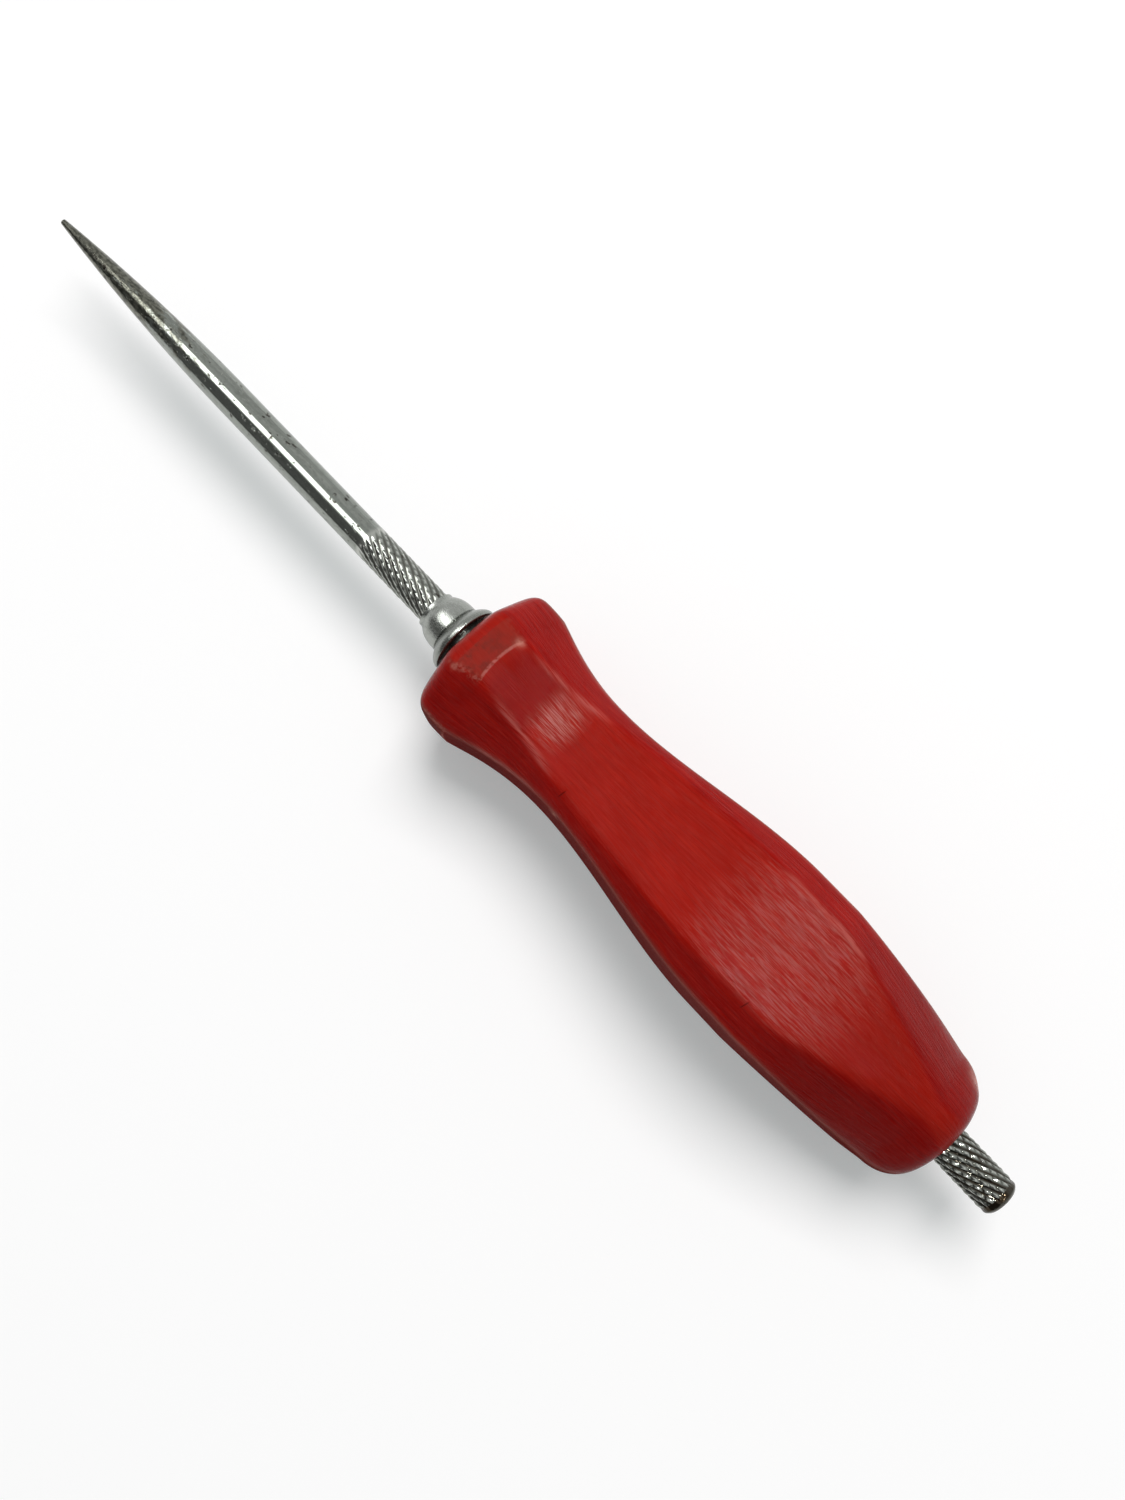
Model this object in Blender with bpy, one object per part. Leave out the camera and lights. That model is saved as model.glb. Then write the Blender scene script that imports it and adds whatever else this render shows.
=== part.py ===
"""Scratch awl: a steel rod driven right through a square, waisted hard plastic handle, with a flanged ferrule.

Units are metres and +Z is up. The awl lies on a flat of its handle, with its point towards -X.
Along the tool, x is measured from the front face of the handle towards its butt.
"""

import math

import bpy

# Fits between the pieces
FIT_CLEARANCE = 0.00015
SEAT_GAP = 0.0003

# Rod: one length of round steel with a point, a knurled stretch and a knurled tail
ROD_DIAMETER = 0.00476
TIP_REACH = 0.0859
TIP_DIAMETER = 0.0008
POINT_LENGTH = 0.038
KNURL_STARTS = 17
KNURL_PITCH = 0.0018
KNURL_DEPTH = 0.00024
FRONT_KNURL_LENGTH = 0.0129
FRONT_KNURL_RAISE = 0.00004
TAIL_LENGTH = 0.0093
TAIL_KNURL_RAISE = 0.0002
TAIL_CHAMFER = 0.0004

# Ferrule: a lip, a bulb, a flange and a neck that enters the handle
LIP_WALL = 0.0002
LIP_LENGTH = 0.0006
BULB_WALL = 0.00115
BULB_LENGTH = 0.003
BULB_FULLNESS = 2.2
NOTCH_DEPTH = 0.0001
FLANGE_LENGTH = 0.0025
FLANGE_OVERHANG = 0.0012
FLANGE_EDGE = 0.0004
NECK_WALL = 0.0013
NECK_GAP = 0.0008
SPIGOT_DEPTH = 0.005

# Handle: places along its length
HANDLE_LENGTH = 0.0831
FLARE_RISE = 0.005
FLARE_LAND = 0.0019
CREST_TO_WAIST = 0.0146
PALM_LAND = 0.006
PALM_TO_BUTT = 0.0258
BUTT_DOME = 0.0051

# Handle: widths across its flats, and the widths of those flats
FRONT_RIM = 0.0006
PALM_WIDTH = 0.0212
WAIST_WIDTH = 0.01515
BUTT_WIDTH = 0.0184
BUTT_RIM = 0.0004
FLARE_FLAT = 0.0098
CREST_FLAT = 0.0074
WAIST_FLAT = 0.0103
PALM_FLAT = 0.014
BUTT_FLAT = 0.003

# Handle: how full its curves are and how crisp its long edges are
FLARE_FULLNESS = 4.2
SWEEP_POWER = 2.0
TAPER_POWER = 1.12
FLAT_TAPER_POWER = 1.3
DOME_FULLNESS = 0.4
FLARE_SHARPNESS = 28.0
EDGE_SHARPNESS = 55.0
BUTT_SHARPNESS = 9.0
EDGE_BAND = math.radians(4.0)

# Share of the width at which the flats are as wide as the corner facets
EVEN_FLAT = math.tan(math.pi / 8)

# Fineness of the solids
FERRULE_SIDES = 48
BULB_STEPS = 8
FLANGE_STEPS = 6
POINT_STEPS = 14
FLARE_STEPS = 8
CREST_STEPS = 2
SWEEP_STEPS = 9
RISE_STEPS = 9
TAPER_STEPS = 8
DOME_STEPS = 7
FLARE_CROWDING = 1.5
SHARP_ANGLE = math.radians(30.0)

# Sizes that follow from the ones above
ROD_RADIUS = ROD_DIAMETER / 2
TIP_RADIUS = TIP_DIAMETER / 2
FRONT_KNURL_RADIUS = ROD_RADIUS + FRONT_KNURL_RAISE
TAIL_KNURL_RADIUS = ROD_RADIUS + TAIL_KNURL_RAISE
TAIL_END = HANDLE_LENGTH + TAIL_LENGTH

FERRULE_BORE = FRONT_KNURL_RADIUS + FIT_CLEARANCE
LIP_RADIUS = FERRULE_BORE + LIP_WALL
BULB_RADIUS = FERRULE_BORE + BULB_WALL
NOTCH_RADIUS = BULB_RADIUS - NOTCH_DEPTH
NECK_RADIUS = FERRULE_BORE + NECK_WALL
FLANGE_RADIUS = NECK_RADIUS + FLANGE_OVERHANG
FLANGE_BACK = -NECK_GAP
FLANGE_FRONT = FLANGE_BACK - FLANGE_LENGTH
BULB_FRONT = FLANGE_FRONT - BULB_LENGTH
FERRULE_FRONT = BULB_FRONT - LIP_LENGTH

HANDLE_BORE = TAIL_KNURL_RADIUS + FIT_CLEARANCE
COUNTERBORE = NECK_RADIUS + FIT_CLEARANCE
COUNTERBORE_DEPTH = SPIGOT_DEPTH + SEAT_GAP
FRONT_FACE_WIDTH = 2 * (COUNTERBORE + FRONT_RIM)
BUTT_FACE_WIDTH = 2 * (HANDLE_BORE + BUTT_RIM)
CREST = FLARE_RISE + FLARE_LAND
WAIST = CREST + CREST_TO_WAIST
PALM_END = HANDLE_LENGTH - PALM_TO_BUTT
PALM_START = PALM_END - PALM_LAND
DOME_START = HANDLE_LENGTH - BUTT_DOME

REST_HEIGHT = PALM_WIDTH / 2
MIDDLE = (TAIL_END - TIP_REACH) / 2


def clear_scene():
    for old in list(bpy.data.objects):
        bpy.data.objects.remove(old, do_unlink=True)


def principled(name, colour, roughness, metallic):
    """A material of one finish."""
    material = bpy.data.materials.new(name)
    material.use_nodes = True
    shader = material.node_tree.nodes["Principled BSDF"]
    shader.inputs["Base Color"].default_value = (*colour, 1.0)
    shader.inputs["Roughness"].default_value = roughness
    shader.inputs["Metallic"].default_value = metallic
    return material


def blend(first, last, share):
    return first + (last - first) * share


def ease(share):
    return share * share * (3.0 - 2.0 * share)


def steps(first, last, count):
    """Evenly spaced places from first to last, both included."""
    return [blend(first, last, i / count) for i in range(count + 1)]


def circle(x, radius, sides):
    """A ring of points round the tool's axis, starting at the top."""
    turn = 2 * math.pi / sides
    return [(x, radius * math.sin(i * turn), radius * math.cos(i * turn)) for i in range(sides)]


def wall(rings, row, first_column=None):
    """Outward faces between one ring and the next; first_column asks for a knurl's split quads."""
    count = len(rings[row])
    start = row * count
    after = ((row + 1) % len(rings)) * count
    faces = []
    for i in range(count):
        j = (i + 1) % count
        a, b, c, d = start + i, start + j, after + j, after + i
        if first_column is None:
            faces.append((a, d, c, b))
        elif (i + first_column) % 2 == 0:
            faces.extend([(a, d, b), (d, c, b)])
        else:
            faces.extend([(a, d, c), (a, c, b)])
    return faces


def add_piece(name, rings, faces, material, parent):
    mesh = bpy.data.meshes.new(name)
    mesh.from_pydata([point for ring in rings for point in ring], [], faces)
    mesh.materials.append(material)
    mesh.shade_smooth()
    mesh.set_sharp_from_angle(angle=SHARP_ANGLE)
    piece = bpy.data.objects.new(name, mesh)
    bpy.context.scene.collection.objects.link(piece)
    piece.parent = parent
    return piece


def turned_piece(name, rings, material, parent):
    """A piece whose rings run down its outside and back through its bore."""
    faces = [face for row in range(len(rings)) for face in wall(rings, row)]
    return add_piece(name, rings, faces, material, parent)


def point_radius(distance):
    """The rod's radius at a distance behind its tip, along the ogive point."""
    fullness = 1.0 - (1.0 - distance / POINT_LENGTH) ** 2
    return blend(TIP_RADIUS, ROD_RADIUS, fullness)


def knurl_rows(first, last):
    """Places of a diamond knurl's rows, half a pitch apart, between two ends."""
    count = max(2, round(2 * (last - first) / KNURL_PITCH))
    return steps(first, last, count)


def knurl_ring(x, row, radius, columns):
    """A ring that stands up at every second point, staggered from row to row."""
    low = circle(x, radius - KNURL_DEPTH, columns)
    high = circle(x, radius, columns)
    return [high[i] if (i + row) % 2 == 0 else low[i] for i in range(columns)]


def make_blade(parent):
    columns = 2 * KNURL_STARTS
    rings = []
    knurled = {}

    def add_knurl(first, last, radius):
        for row, x in enumerate(knurl_rows(first, last)):
            knurled[len(rings)] = row
            rings.append(knurl_ring(x, row, radius, columns))
        del knurled[len(rings) - 1]

    rings.append(circle(-TIP_REACH, TIP_RADIUS / 2, columns))
    for distance in steps(TIP_RADIUS / 2, POINT_LENGTH, POINT_STEPS):
        rings.append(circle(distance - TIP_REACH, point_radius(distance), columns))
    knurl_start = FERRULE_FRONT - FRONT_KNURL_LENGTH
    rings.append(circle(knurl_start - KNURL_PITCH / 2, ROD_RADIUS, columns))
    add_knurl(knurl_start, FERRULE_FRONT - SEAT_GAP, FRONT_KNURL_RADIUS)
    rings.append(circle(FERRULE_FRONT, ROD_RADIUS, columns))
    rings.append(circle(HANDLE_LENGTH - KNURL_PITCH, ROD_RADIUS, columns))
    add_knurl(HANDLE_LENGTH - KNURL_PITCH / 2, TAIL_END - TAIL_CHAMFER, TAIL_KNURL_RADIUS)
    rings.append(circle(TAIL_END, TAIL_KNURL_RADIUS - TAIL_CHAMFER, columns))

    faces = [tuple(range(columns))]
    for row in range(len(rings) - 1):
        faces.extend(wall(rings, row, knurled.get(row)))
    last_ring = (len(rings) - 1) * columns
    faces.append(tuple(last_ring + i for i in reversed(range(columns))))
    steel = principled("tool_steel", (0.36, 0.37, 0.345), 0.25, 1.0)
    return add_piece("blade", rings, faces, steel, parent)


def ferrule_outline():
    """Places and radii down the ferrule's outside, then back through its bore."""
    outline = [(FERRULE_FRONT, LIP_RADIUS), (BULB_FRONT, LIP_RADIUS)]
    swell_length = BULB_LENGTH - NOTCH_DEPTH
    for share in steps(0.0, 1.0, BULB_STEPS)[1:]:
        swell = 1.0 - (1.0 - share) ** BULB_FULLNESS
        outline.append((BULB_FRONT + swell_length * share, blend(LIP_RADIUS, BULB_RADIUS, swell)))
    outline.append((FLANGE_FRONT, NOTCH_RADIUS))
    rise = FLANGE_LENGTH - FLANGE_EDGE
    for share in steps(0.0, 1.0, FLANGE_STEPS)[1:]:
        swell = math.sin(share * math.pi / 2)
        outline.append((FLANGE_FRONT + rise * share, blend(NOTCH_RADIUS, FLANGE_RADIUS, swell)))
    outline.append((FLANGE_BACK, FLANGE_RADIUS - FLANGE_EDGE))
    outline.append((FLANGE_BACK, NECK_RADIUS))
    outline.append((SPIGOT_DEPTH, NECK_RADIUS))
    outline.append((SPIGOT_DEPTH, FERRULE_BORE))
    outline.append((FERRULE_FRONT, FERRULE_BORE))
    return outline


def make_ferrule(parent):
    rings = [circle(x, radius, FERRULE_SIDES) for x, radius in ferrule_outline()]
    plating = principled("bright_plating", (0.46, 0.47, 0.445), 0.25, 1.0)
    return turned_piece("ferrule", rings, plating, parent)


def handle_width(x):
    """The handle's width across its flats, at a distance behind its front face."""
    if x < FLARE_RISE:
        rise = 1.0 - (1.0 - x / FLARE_RISE) ** FLARE_FULLNESS
        return blend(FRONT_FACE_WIDTH, PALM_WIDTH, rise)
    if x < CREST:
        return PALM_WIDTH
    if x < WAIST:
        return blend(WAIST_WIDTH, PALM_WIDTH, ((WAIST - x) / CREST_TO_WAIST) ** SWEEP_POWER)
    if x < PALM_START:
        return blend(WAIST_WIDTH, PALM_WIDTH, ease((x - WAIST) / (PALM_START - WAIST)))
    if x < PALM_END:
        return PALM_WIDTH
    taper = ((x - PALM_END) / (DOME_START - PALM_END)) ** TAPER_POWER
    width = blend(PALM_WIDTH, BUTT_WIDTH, taper)
    if x < DOME_START:
        return width
    along = min(1.0, (x - DOME_START) / BUTT_DOME)
    return blend(BUTT_FACE_WIDTH, width, (1.0 - along**2) ** DOME_FULLNESS)


def flat_width(x):
    """The width of one flat of the handle, at a distance behind its front face."""
    if x < CREST:
        return blend(FLARE_FLAT, CREST_FLAT, x / CREST) * handle_width(x) / PALM_WIDTH
    if x < WAIST:
        return blend(CREST_FLAT, WAIST_FLAT, ((x - CREST) / CREST_TO_WAIST) ** SWEEP_POWER)
    if x < PALM_START:
        left = (PALM_START - x) / (PALM_START - WAIST)
        return blend(PALM_FLAT, WAIST_FLAT, left**SWEEP_POWER)
    if x < PALM_END:
        return PALM_FLAT
    if x < DOME_START:
        taper = ((x - PALM_END) / (DOME_START - PALM_END)) ** FLAT_TAPER_POWER
        return blend(PALM_FLAT, BUTT_FLAT, taper)
    rounding = min(1.0, (x - DOME_START) / BUTT_DOME) ** SWEEP_POWER
    return blend(BUTT_FLAT / BUTT_WIDTH, EVEN_FLAT, rounding) * handle_width(x)


def sharpness(x):
    """How crisp the handle's long edges are: softer on the flare, and fading behind the palm."""
    if x < WAIST:
        return blend(FLARE_SHARPNESS, EDGE_SHARPNESS, ease(max(0.0, (x - CREST) / CREST_TO_WAIST)))
    faded = min(1.0, max(0.0, (x - PALM_END) / (DOME_START - PALM_END)))
    return blend(EDGE_SHARPNESS, BUTT_SHARPNESS, ease(faded))


def handle_ring(x):
    """One section of the handle: four flats, four corner facets and rounded edges between them."""
    reach = handle_width(x) / 2
    half_flat = flat_width(x) / 2
    corner_reach = (reach + half_flat) / math.sqrt(2)
    power = sharpness(x)
    edge = math.atan2(half_flat, reach)
    across = math.pi / 2 - edge
    quarter = [0.0, edge - EDGE_BAND, edge, edge + EDGE_BAND]
    quarter += [math.pi / 4, across - EDGE_BAND, across, across + EDGE_BAND]
    ring = []
    for side in range(4):
        for angle in quarter:
            total = 0.0
            for facet in range(8):
                distance = reach if facet % 2 == 0 else corner_reach
                total += max(0.0, math.cos(angle - facet * math.pi / 4) / distance) ** power
            radius = total ** (-1.0 / power)
            turned = angle + side * math.pi / 2
            ring.append((x, radius * math.sin(turned), radius * math.cos(turned)))
    return ring


def make_handle(parent):
    places = [FLARE_RISE * share**FLARE_CROWDING for share in steps(0.0, 1.0, FLARE_STEPS)]
    places += steps(FLARE_RISE, CREST, CREST_STEPS)[1:]
    places += steps(CREST, WAIST, SWEEP_STEPS)[1:]
    places += steps(WAIST, PALM_START, RISE_STEPS)[1:]
    places += steps(PALM_END, DOME_START, TAPER_STEPS)
    quarter_turn = math.pi / 2
    turns = steps(0.0, quarter_turn, DOME_STEPS)[1:]
    places += [DOME_START + BUTT_DOME * math.sin(turn) for turn in turns]
    rings = [handle_ring(x) for x in places]
    sides = len(rings[0])
    rings.append(circle(HANDLE_LENGTH, HANDLE_BORE, sides))
    rings.append(circle(COUNTERBORE_DEPTH, HANDLE_BORE, sides))
    rings.append(circle(COUNTERBORE_DEPTH, COUNTERBORE, sides))
    rings.append(circle(0.0, COUNTERBORE, sides))
    red = principled("red_hard_plastic", (0.32, 0.008, 0.006), 0.4, 0.0)
    return turned_piece("handle", rings, red, parent)


def main():
    clear_scene()
    awl = bpy.data.objects.new("awl", None)
    bpy.context.scene.collection.objects.link(awl)
    awl.location = (-MIDDLE, 0.0, REST_HEIGHT)
    make_blade(awl)
    make_ferrule(awl)
    make_handle(awl)


main()
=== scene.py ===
"""Scratch awl: the visible pieces, their finishes, a studio floor with soft light, and a camera.

Lengths are in metres. Along the tool, x is measured from the front face of the handle towards its butt,
and y and z start at the rod's axis. Each piece's own coordinates are these. The finishes and the places
of wear, painted shade and painted sheen use the same coordinates in millimetres.
"""

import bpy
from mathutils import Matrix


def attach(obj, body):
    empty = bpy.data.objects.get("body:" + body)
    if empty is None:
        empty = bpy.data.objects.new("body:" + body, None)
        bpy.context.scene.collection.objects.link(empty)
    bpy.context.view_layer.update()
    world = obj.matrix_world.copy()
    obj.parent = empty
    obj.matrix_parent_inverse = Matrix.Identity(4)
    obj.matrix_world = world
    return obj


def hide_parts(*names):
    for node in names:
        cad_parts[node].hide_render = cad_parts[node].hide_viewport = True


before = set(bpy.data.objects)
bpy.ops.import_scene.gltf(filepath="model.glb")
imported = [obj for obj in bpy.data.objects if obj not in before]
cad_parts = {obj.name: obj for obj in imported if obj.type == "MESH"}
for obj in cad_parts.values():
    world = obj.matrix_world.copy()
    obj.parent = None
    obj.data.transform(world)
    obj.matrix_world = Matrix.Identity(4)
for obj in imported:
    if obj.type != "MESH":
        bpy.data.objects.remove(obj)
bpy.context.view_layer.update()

import math

import bpy
import numpy as np
from mathutils import Matrix, Vector

MM = 0.001
SHARP_ANGLE = math.radians(40.0)

# Rod
ROD_RADIUS = 0.00238
TIP_REACH = 0.0859
TIP_RADIUS = 0.0004
POINT_LENGTH = 0.038
POINT_RINGS = 60
POINT_CROWDING = 1.3
SHANK_RINGS = 30

# Knurls: points and rings for each groove, how uneven the grooves are, and how full each family is
KNURL_STARTS = 17
KNURL_PITCH = 0.0018
KNURL_SIDES = 12
KNURL_RINGS = 14
GROOVE_HALF_WIDTH = 0.44
GROOVE_FULLNESS = 0.84
GROOVE_SPREAD = 0.1
GROOVE_SPREAD_TURN = 2.4
GROOVE_DRIFT = 0.06
GROOVE_DRIFT_TURN = 1.7
GROOVE_DRIFT_WAVE = 2.2
FRONT_KNURL_START = -0.0198
FRONT_KNURL_RADIUS = 0.00242
FRONT_KNURL_DEPTH = 0.0002
FRONT_KNURL_CUTS = (0.45, 1.0)
TAIL_KNURL_RADIUS = 0.00258
TAIL_KNURL_DEPTH = 0.00034
TAIL_KNURL_CUTS = (1.0, 0.6)

# Tail
TAIL_END = 0.0924
TAIL_BAND = 0.0007
TAIL_BAND_DIRT = (1.0, 0.8)
TAIL_CHAMFER = 0.0004
TAIL_CHAMFER_START = 0.2
TAIL_CHAMFER_POWER = 1.5
TAIL_CHAMFER_DIRT = 0.5
TAIL_CHAMFER_RINGS = 4

# Ferrule
FERRULE_SIDES = 128
FERRULE_BORE = 0.00257
FERRULE_FRONT = -0.0069
BULB_FRONT = -0.0063
FLANGE_FRONT = -0.0029
FLANGE_BACK = -0.0008
LIP_RADIUS = 0.00277
LIP_EDGE = 0.00008
BULB_RADIUS = 0.00372
BULB_FULLNESS = 3.0
NOTCH_RADIUS = 0.00362
NOTCH_LENGTH = 0.0001
NOTCH_DIRT = 0.4
NOTCH_DIRT_REACH = 0.00012
NECK_RADIUS = 0.00387
FLANGE_RADIUS = 0.00507
FLANGE_EDGE = 0.0004
FLANGE_EDGE_RINGS = 8
FLANGE_DIRT = 0.25
SWELL_RINGS = 24
SPIGOT_DEPTH = 0.005

# Handle
HANDLE_LENGTH = 0.0831
HANDLE_BORE = 0.00273
COUNTERBORE = 0.00402
COUNTERBORE_DEPTH = 0.0053
FLARE_RISE = 0.005
CREST = 0.0069
CREST_BOW = 0.0005
CREST_BOW_REACH = 0.003
CREST_WEAR = 0.0018
CREST_WEAR_STEPS = 8
WAIST = 0.0215
PALM_START = 0.0513
PALM_END = 0.0573
DOME_START = 0.078
BUTT_DOME = 0.0051
FRONT_FACE_WIDTH = 0.00924
WAIST_WIDTH = 0.01515
PALM_WIDTH = 0.0212
BUTT_WIDTH = 0.0184
BUTT_FACE_WIDTH = 0.00626
FLARE_FLAT = 0.0098
CREST_FLAT = 0.0074
WAIST_FLAT = 0.0103
PALM_FLAT = 0.014
BUTT_FLAT = 0.003
EVEN_FLAT = math.tan(math.pi / 8)
FLARE_FULLNESS = 4.2
SWEEP_POWER = 2.0
TAPER_POWER = 1.12
FLAT_TAPER_POWER = 1.3
DOME_FULLNESS = 0.4
FLARE_SHARPNESS = 28.0
EDGE_SHARPNESS = 55.0
BUTT_SHARPNESS = 9.0
EDGE_WEAR_REACH = 0.00045
FLAT_CRISPNESS = 60.0

# Points round an eighth of the handle: across the flat, over the long edge and across the facet
EDGE_BAND = math.radians(5.0)
FLAT_POINTS = 6
EDGE_POINTS = 8
FACET_POINTS = 5

# Rings along the handle: in its rounded ends, and in each stretch between them
FLARE_RINGS = 26
FLARE_CROWDING = 1.6
DOME_RINGS = 24
HANDLE_STRETCHES = [
    (FLARE_RISE, CREST, 8),
    (CREST, WAIST, 44),
    (WAIST, PALM_START, 60),
    (PALM_START, PALM_END, 8),
    (PALM_END, DOME_START, 44),
]

# Chips in the handle: place, reach and depth in millimetres
CHIPS = [
    ((6.8, 3.2, 10.3), 0.5, 0.14),
    ((3.4, -4.5, 10.0), 0.35, 0.08),
    ((2.6, -4.3, 9.6), 0.3, 0.08),
    ((80.9, 7.4, 2.2), 1.3, 0.16),
    ((24.0, -7.5, 4.7), 0.5, 0.08),
    ((61.0, 10.4, -6.0), 0.7, 0.1),
    ((48.0, -6.4, -10.2), 0.6, 0.1),
    ((5.2, -10.3, -3.6), 0.6, 0.12),
]

# Short slanting cuts over the edges of the handle's upper flat, in millimetres: places, reach and fade
NICKS = [(23.3, -5.4), (55.4, -7.2)]
NICK_SLANT = 0.2
NICK_WIDTH = (0.03, 0.07)
NICK_LENGTH = (0.2, 0.6)

# Bands of wear, painted shade and painted sheen on the handle: middle, reach and fade in millimetres
BEVEL = (5.1, 1.6, 0.3)
CREST_LINE = (CREST / MM, 0.08, 0.2)
# Painted shade on the flats behind the crest
SHADE_BEHIND_CREST = (11.4, 2.4, 2.0)
# Neck edges: pale wear, also painted as glints
NECK_WORN_GLINT = (15.0, 3.0, 4.0)
# Neck: pale scratch dashes painted as a highlight
NECK_SCRATCH_SHEEN = (16.5, 0.8, 3.0)
NECK_SCRATCH_SHEEN_ACROSS = (0.4, 1.0, 3.4)
# Palm edges: pale wear, also painted as glints, most on the upper edge
PALM_WORN_GLINT = (55.0, 4.0, 4.0)
# Palm: pale scratch dashes painted as sheen
PALM_SCRATCH_SHEEN = (55.0, 3.0, 12.0)

# Where the finish along the tool starts and stops to change, in millimetres
RIM_FADE = (0.1, 0.35)
BUTT_FADE = (55.0, 69.0)
TIP_FADE = (-72.0, -50.0)
GROUND_FADE = (-62.0, -48.0)
PATINA_FADE = (-58.0, -46.0)
GRIME_FADE = (0.0, 80.0)
KNURL_FADE = (FRONT_KNURL_START / MM - 0.4, FRONT_KNURL_START / MM + 0.4)

# Depths of the finest relief, in the finishes alone
FINE_DEPTH = 0.00006
BRUSH_DEPTH = 0.00006
DASH_DEPTH = 0.00003
NICK_DEPTH = 0.00008
GROUND_DEPTH = 0.00001
STAIN_DEPTH = 0.00002
PIT_DEPTH = 0.00003
PLATING_DEPTH = 0.00003

# Where the tool lies in the frame
MIDDLE = (TAIL_END - TIP_REACH) / 2
REST_HEIGHT = PALM_WIDTH / 2

# Camera
CAMERA_PLACE = (0.03993, -0.02089, 0.15923)
CAMERA_RIGHT = (0.68215, 0.73105, -0.01545)
CAMERA_UP = (-0.71246, 0.66927, 0.21091)
CAMERA_FORWARD = (-0.16453, 0.13286, -0.97738)
CAMERA_LENS = 28.8
CAMERA_CLIP = 0.005

# Studio: the floor's reach, how brightly floor and world show, and how strongly the world lights
FLOOR_REACH = 3.0
FLOOR_GLOW = 0.28
WORLD_SHOWN = 0.75
WORLD_LIGHT = 0.28

# A dark card that only reflections see: its ends, place to the side, height and brightness
FLAG_ENDS = (-0.8, 0.6)
FLAG_SIDE = -0.35
FLAG_HEIGHT = 0.65
FLAG_GLOW = 0.18

# Lamps: place, aim, size, watts, and the kind of rays that each stays hidden from
LAMPS = {
    "key": ((-0.28, 0.72, 1.5), (0.0, 0.0, 0.01), (1.0, 1.0), 24.5, "glossy"),
    "top": ((0.09, 0.07, 0.5), (0.03, 0.0, 0.01), (0.03, 0.05), 1.5, "diffuse"),
    "tail": ((0.204, -0.015, 0.4), (0.085, 0.0, 0.01), (0.1, 0.07), 0.09, "diffuse"),
    "strip": ((-0.265, -0.058, 0.4), (-0.265, -0.058, 0.0), (0.37, 0.2), 1.1, "diffuse"),
}


def blend(first, last, share):
    return first + (last - first) * share


def ease(x, first, last):
    """Goes smoothly from 0 to 1 as x goes from first to last."""
    share = min(1.0, max(0.0, (x - first) / (last - first)))
    return share * share * (3.0 - 2.0 * share)


def steps(first, last, count):
    """Evenly spaced places from first to last, both included."""
    return list(np.linspace(first, last, count + 1))


def circle(x, radius, sides):
    """A ring of points round the tool's axis, starting at the top."""
    turn = np.arange(sides) * 2 * math.pi / sides
    return np.stack([np.full(sides, x), radius * np.sin(turn), radius * np.cos(turn)], axis=1)


def add_piece(name, points, sides, closed, material, marks):
    """A piece skinned over rings of points. Closed, they run down its outside and back up its bore."""
    rows = len(points) // sides
    faces = []
    for row in range(rows if closed else rows - 1):
        start = row * sides
        after = ((row + 1) % rows) * sides
        for i in range(sides):
            j = (i + 1) % sides
            faces.append((start + i, after + i, after + j, start + j))
    if not closed:
        faces.append(tuple(range(sides)))
        faces.append(tuple((rows - 1) * sides + i for i in reversed(range(sides))))
    mesh = bpy.data.meshes.new(name)
    mesh.from_pydata(points.tolist(), [], faces)
    mesh.shade_smooth()
    mesh.set_sharp_from_angle(angle=SHARP_ANGLE)
    mesh.materials.append(material)
    for mark, values in marks.items():
        layer = mesh.attributes.new(mark, "FLOAT", "POINT")
        layer.data.foreach_set("value", np.asarray(values, dtype=np.float32))
    piece = bpy.data.objects.new(name, mesh)
    bpy.context.scene.collection.objects.link(piece)
    piece.location = (-MIDDLE, 0.0, REST_HEIGHT)
    return piece


# Handle

def handle_width(x):
    """The handle's width across its flats, at a distance behind its front face."""
    if x < FLARE_RISE:
        return blend(FRONT_FACE_WIDTH, PALM_WIDTH, 1.0 - (1.0 - x / FLARE_RISE) ** FLARE_FULLNESS)
    if x < CREST:
        return PALM_WIDTH
    if x < WAIST:
        return blend(WAIST_WIDTH, PALM_WIDTH, ((WAIST - x) / (WAIST - CREST)) ** SWEEP_POWER)
    if x < PALM_START:
        return blend(WAIST_WIDTH, PALM_WIDTH, ease(x, WAIST, PALM_START))
    if x < PALM_END:
        return PALM_WIDTH
    taper = ((x - PALM_END) / (DOME_START - PALM_END)) ** TAPER_POWER
    width = blend(PALM_WIDTH, BUTT_WIDTH, taper)
    if x < DOME_START:
        return width
    along = min(1.0, (x - DOME_START) / BUTT_DOME)
    return blend(BUTT_FACE_WIDTH, width, (1.0 - along**2) ** DOME_FULLNESS)


def flat_width(x):
    """The width of one flat of the handle, at a distance behind its front face."""
    if x < CREST:
        return blend(FLARE_FLAT, CREST_FLAT, x / CREST) * handle_width(x) / PALM_WIDTH
    if x < WAIST:
        return blend(CREST_FLAT, WAIST_FLAT, ((x - CREST) / (WAIST - CREST)) ** SWEEP_POWER)
    if x < PALM_START:
        left = (PALM_START - x) / (PALM_START - WAIST)
        return blend(PALM_FLAT, WAIST_FLAT, left**SWEEP_POWER)
    if x < PALM_END:
        return PALM_FLAT
    if x < DOME_START:
        taper = ((x - PALM_END) / (DOME_START - PALM_END)) ** FLAT_TAPER_POWER
        return blend(PALM_FLAT, BUTT_FLAT, taper)
    rounding = min(1.0, (x - DOME_START) / BUTT_DOME) ** SWEEP_POWER
    return blend(BUTT_FLAT / BUTT_WIDTH, EVEN_FLAT, rounding) * handle_width(x)


def sharpness(x):
    """How crisp the handle's long edges are: softer as far as the waist, and fading behind the palm."""
    if x < PALM_START:
        return blend(FLARE_SHARPNESS, EDGE_SHARPNESS, ease(x, WAIST, PALM_START))
    return blend(EDGE_SHARPNESS, BUTT_SHARPNESS, ease(x, PALM_END, DOME_START))


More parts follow.
